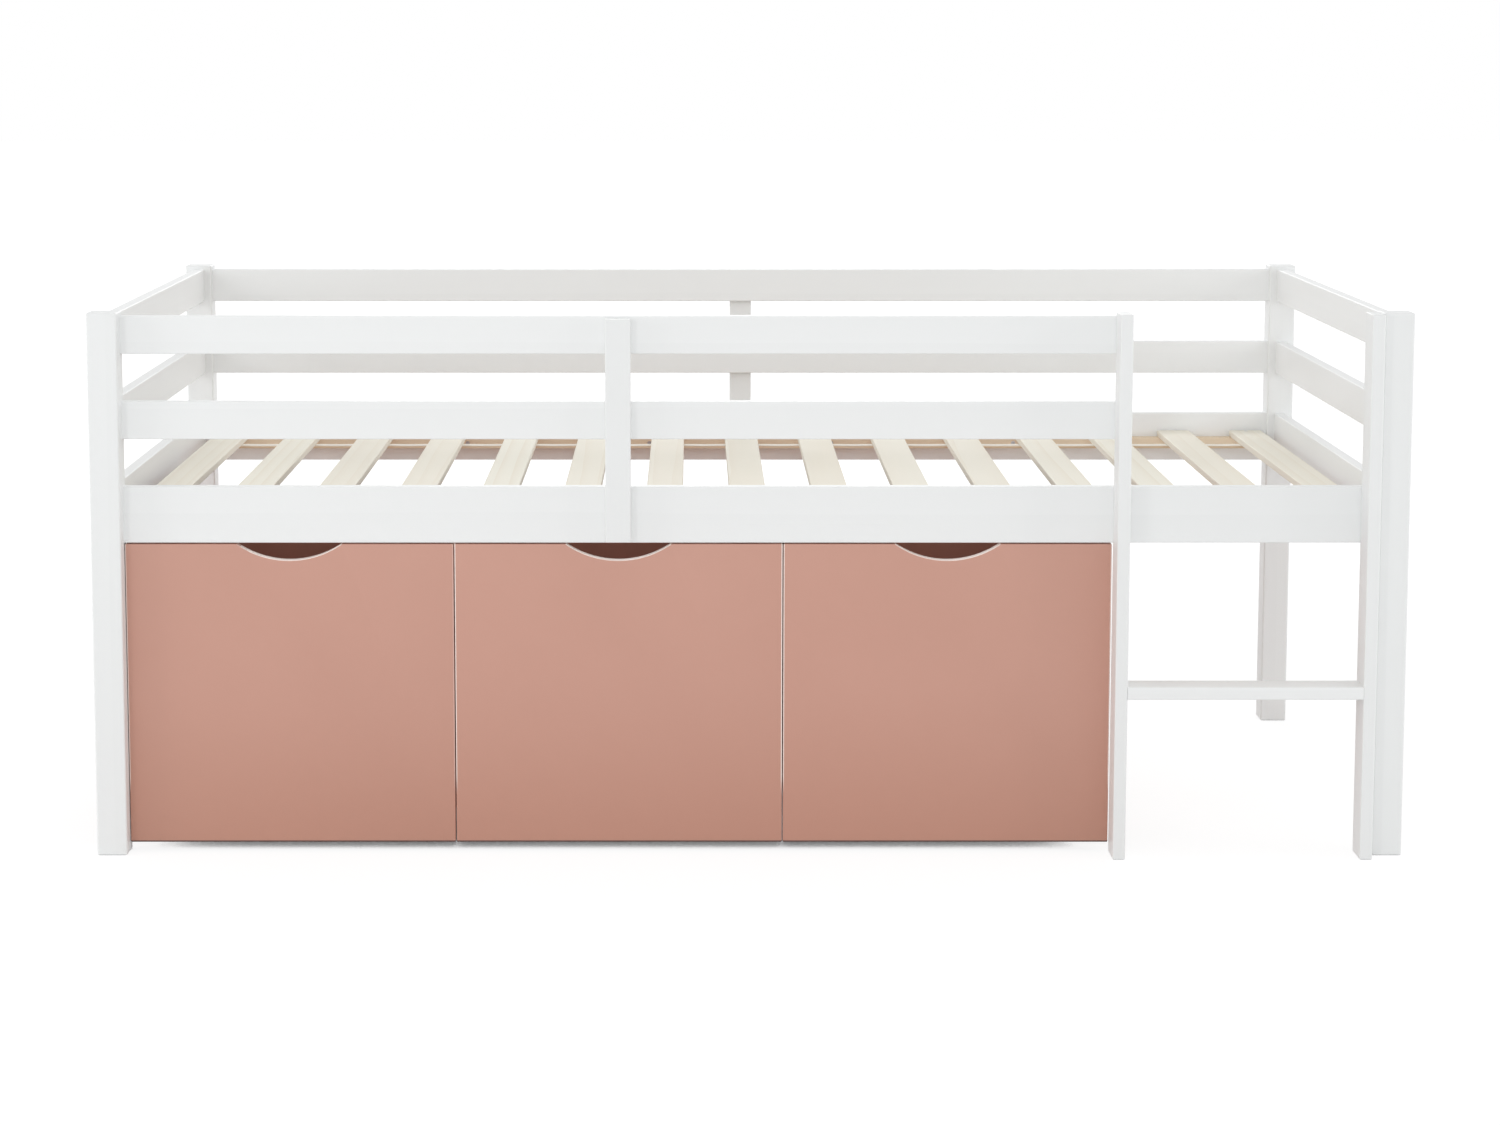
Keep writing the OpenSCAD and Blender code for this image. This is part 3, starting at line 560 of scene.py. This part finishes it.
def add_front_panels(material):
    first = model_front_panel()
    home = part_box("box_2_front")[0].x
    for number in BOXES:
        piece = first.copy()
        piece.data = first.data.copy()
        piece.name = f"box_{number}_front_panel"
        bpy.context.scene.collection.objects.link(piece)
        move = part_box(f"box_{number}_front")[0].x - home
        for vertex in piece.data.vertices:
            vertex.co.x += move
        mark_highlighted_faces(piece, *SIDE_HIGHLIGHT[number])
        dress(piece, material, "pink_paint", f"box_{number}", f"box_{number}_front")
    bpy.data.objects.remove(first)


TAPE_WIDTH = 20 * MM
TAPE_SAG = 0.4 * MM
TAPE_EASE = 0.25 * MM
# Twelve from slat to slat, and four for the ends
TAPE_STEPS = 12 * (SLAT_COUNT - 1) + 4


def hang_down(x):
    """How far the tape hangs at x: nothing under a slat, and a little between two slats."""
    past = (x - SLAT_FIRST) % SLAT_PITCH
    gap = SLAT_PITCH - SLAT_WIDTH
    share = (past - SLAT_WIDTH / 2) / gap
    if share <= 0 or share >= 1:
        return 0
    return TAPE_SAG * math.sin(math.pi * share) ** 2


def add_webbing_tapes(material):
    """Two woven tapes under the slats, pinned below each slat and slack between them."""
    low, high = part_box("slat_tapes")
    tapes = []
    for y in (low.y + TAPE_WIDTH / 2, high.y - TAPE_WIDTH / 2):
        clear_selection()
        bpy.ops.mesh.primitive_grid_add(x_subdivisions=TAPE_STEPS, y_subdivisions=6, size=1,
                                        location=((low.x + high.x) / 2, y, high.z))
        tape = bpy.context.object
        tape.scale = (high.x - low.x, TAPE_WIDTH, 1)
        settle(tape)
        for vertex in tape.data.vertices:
            vertex.co.z -= hang_down(vertex.co.x)
        apply_modifier(tape, "SOLIDIFY", thickness=high.z - low.z, offset=-1)
        apply_modifier(tape, "BEVEL", width=TAPE_EASE, segments=2, limit_method="ANGLE",
                       angle_limit=math.radians(50))
        smooth_edges(tape)
        tapes.append(tape)
    clear_selection()
    for tape in tapes:
        tape.select_set(True)
    bpy.context.view_layer.objects.active = tapes[0]
    bpy.ops.object.join()
    tapes[0].name = "slat_webbing"
    dress(tapes[0], material, "webbing", "bed_frame", "slat_tapes")


def finish_node(name, material):
    """Gives a CAD node that stays its material."""
    piece = nodes[name]
    piece.data.materials.clear()
    piece.data.materials.append(material)


def finish_nodes():
    for axis, names in BOARDS_ALONG.items():
        paint = white_paint(axis)
        for name in names:
            finish_node(name, paint)
    zinc = bright_zinc()
    for name in ("tape_staples", "frame_bolts", "barrel_nuts", "frame_screws"):
        finish_node(name, zinc)
    finish_node("frame_dowels", dowel_beech())
    pine = slat_pine()
    for name in ("slats_left", "slats_middle", "slats_right"):
        finish_node(name, pine)
    batten = batten_pine()
    for name in ("slat_batten_front", "slat_batten_rear"):
        finish_node(name, batten)
    # The box walls get the darker pink: painted shade inside the boxes
    pink = pink_paint("pink_paint_inside_shaded", PINK_WALL_SHADED)
    plastic = wheel_plastic()
    for number in BOXES:
        for part in ("side_left", "side_right", "back", "bottom"):
            finish_node(f"box_{number}_{part}", pink)
        for part in ("castor_brackets", "fasteners"):
            finish_node(f"box_{number}_{part}", zinc)
        for part in ("wheels_front", "wheels_rear"):
            finish_node(f"box_{number}_{part}", plastic)
    add_front_panels(pink_paint("pink_paint_front", PINK_FRONT, painted_light=True))
    add_webbing_tapes(cotton_webbing())


# Studio

AMBIENT = 0.77
PLAIN_LIGHT = (1, 1, 1)
COOL_LIGHT = (0.96, 0.99, 1)
# Each soft box: its place, the height above the floor's middle that it faces, its side, watts and colour
SOFT_BOXES = {
    "soft_box_high": ((0, -4.6, 2.9), 0.5, 1.5, 11, COOL_LIGHT),
    "soft_box_front": ((-0.1, -5.2, 1.7), 0.45, 1.0, 9, COOL_LIGHT),
    "soft_box_left": ((-2.75, -5.2, 1.9), 0.45, 0.6, 20, COOL_LIGHT),
    "soft_box_side_left": ((-4.0, -1.2, 1.4), 0.4, 1.6, 28, PLAIN_LIGHT),
    "soft_box_side_right": ((4.0, -1.2, 1.4), 0.4, 1.6, 26, PLAIN_LIGHT),
    "soft_box_behind": ((0, 4.2, 2.6), 0.4, 2.4, 50, PLAIN_LIGHT),
}
FLOOR_SIZE = 60
# Just under the feet, so that no face lies in the floor
FLOOR_HEIGHT = -0.5 * MM
# Grey that lights the bed from below, and grey on which the camera sees its shadow
FLOOR_BOUNCE = (0.85, 0.85, 0.85)
FLOOR_SEEN = (0.18, 0.18, 0.18)
# The floor's own white from near the bed's middle to far from it
GLOW_NEAR, GLOW_FAR = 0.86, 1.0
GLOW_FROM, GLOW_TO = 1.2, 4.0
# The floor loses its own white where little of the space above it is open within this reach
SHADE_REACH = 0.3
SHADE_FULL, SHADE_NONE = 0.02, 0.12
SHADE_GLOW = 0.03


def add_lamp(name, place, height, size, power, colour):
    """A square soft box that faces a point above the floor's middle."""
    way = Vector((0, 0, height)) - Vector(place)
    bpy.ops.object.light_add(type="AREA", location=place, rotation=way.to_track_quat("-Z", "Y").to_euler())
    lamp = bpy.context.object
    lamp.name = name
    lamp.data.shape = "SQUARE"
    lamp.data.size = size
    lamp.data.energy = power
    lamp.data.color = colour


def seen_directly(tree, x, y):
    """1 for what the camera sees straight on, in a reflection or through glass."""
    path = add_node(tree, "ShaderNodeLightPath", x, y)
    seen = path.outputs["Is Camera Ray"]
    for step, ray in enumerate(("Is Glossy Ray", "Is Transmission Ray"), 1):
        seen = math_node(tree, "MAXIMUM", seen, path.outputs[ray], x + 170 * step, y)
    return seen


def add_world():
    """White where it is seen, and an even light a little below white."""
    world = bpy.data.worlds.new("white_studio")
    bpy.context.scene.world = world
    world.use_nodes = True
    tree = world.node_tree
    light = tree.nodes["Background"]
    light.inputs["Color"].default_value = (1, 1, 1, 1)
    light.inputs["Strength"].default_value = AMBIENT
    white = add_node(tree, "ShaderNodeBackground", 0, -160)
    white.inputs["Color"].default_value = (1, 1, 1, 1)
    white.inputs["Strength"].default_value = 1
    mix = add_node(tree, "ShaderNodeMixShader", 240, 0)
    tree.links.new(seen_directly(tree, -500, 200), mix.inputs[0])
    tree.links.new(light.outputs[0], mix.inputs[1])
    tree.links.new(white.outputs[0], mix.inputs[2])
    tree.links.new(mix.outputs[0], tree.nodes["World Output"].inputs["Surface"])


def add_floor():
    """A wide white floor that throws light back up. It keeps the bed's soft shadow, faint around the bed and
    dark right under the boxes."""
    clear_selection()
    bpy.ops.mesh.primitive_plane_add(size=FLOOR_SIZE, location=(0, 0, FLOOR_HEIGHT))
    floor = bpy.context.object
    floor.name = "studio_floor"
    material = bpy.data.materials.new("floor_white")
    material.use_nodes = True
    tree = material.node_tree
    links = tree.links
    shader = tree.nodes["Principled BSDF"]
    shader.inputs["Roughness"].default_value = 0.9
    shader.inputs["Specular IOR Level"].default_value = 0
    shader.inputs["Emission Color"].default_value = (1, 1, 1, 1)
    place = add_node(tree, "ShaderNodeTexCoord", -1000, -300)
    distance = add_node(tree, "ShaderNodeVectorMath", -820, -300, operation="LENGTH")
    links.new(place.outputs["Object"], distance.inputs[0])
    far = add_node(tree, "ShaderNodeMapRange", -640, -300, interpolation_type="SMOOTHSTEP")
    far.inputs["From Min"].default_value = GLOW_FROM
    far.inputs["From Max"].default_value = GLOW_TO
    far.inputs["To Min"].default_value = GLOW_NEAR
    far.inputs["To Max"].default_value = GLOW_FAR
    links.new(distance.outputs["Value"], far.inputs["Value"])
    seen = seen_directly(tree, -1000, -600)
    glow = math_node(tree, "MULTIPLY", far.outputs[0], seen, -400, -300)
    opening = add_node(tree, "ShaderNodeAmbientOcclusion", -1000, -900, samples=16)
    opening.inputs["Distance"].default_value = SHADE_REACH
    shade = add_node(tree, "ShaderNodeMapRange", -820, -900, interpolation_type="SMOOTHSTEP")
    shade.inputs["From Min"].default_value = SHADE_FULL
    shade.inputs["From Max"].default_value = SHADE_NONE
    shade.inputs["To Min"].default_value = SHADE_GLOW
    links.new(opening.outputs["AO"], shade.inputs["Value"])
    glow = math_node(tree, "MULTIPLY", glow, shade.outputs[0], -220, -300)
    links.new(glow, shader.inputs["Emission Strength"])
    colour = colour_mix(tree, seen, FLOOR_BOUNCE, FLOOR_SEEN, -400, 0)
    links.new(colour, shader.inputs["Base Color"])
    floor.data.materials.append(material)


def add_studio():
    add_world()
    add_floor()
    for name, settings in SOFT_BOXES.items():
        add_lamp(name, *settings)


add_camera()
finish_nodes()
add_studio()
bpy.context.scene.view_settings.view_transform = "Standard"
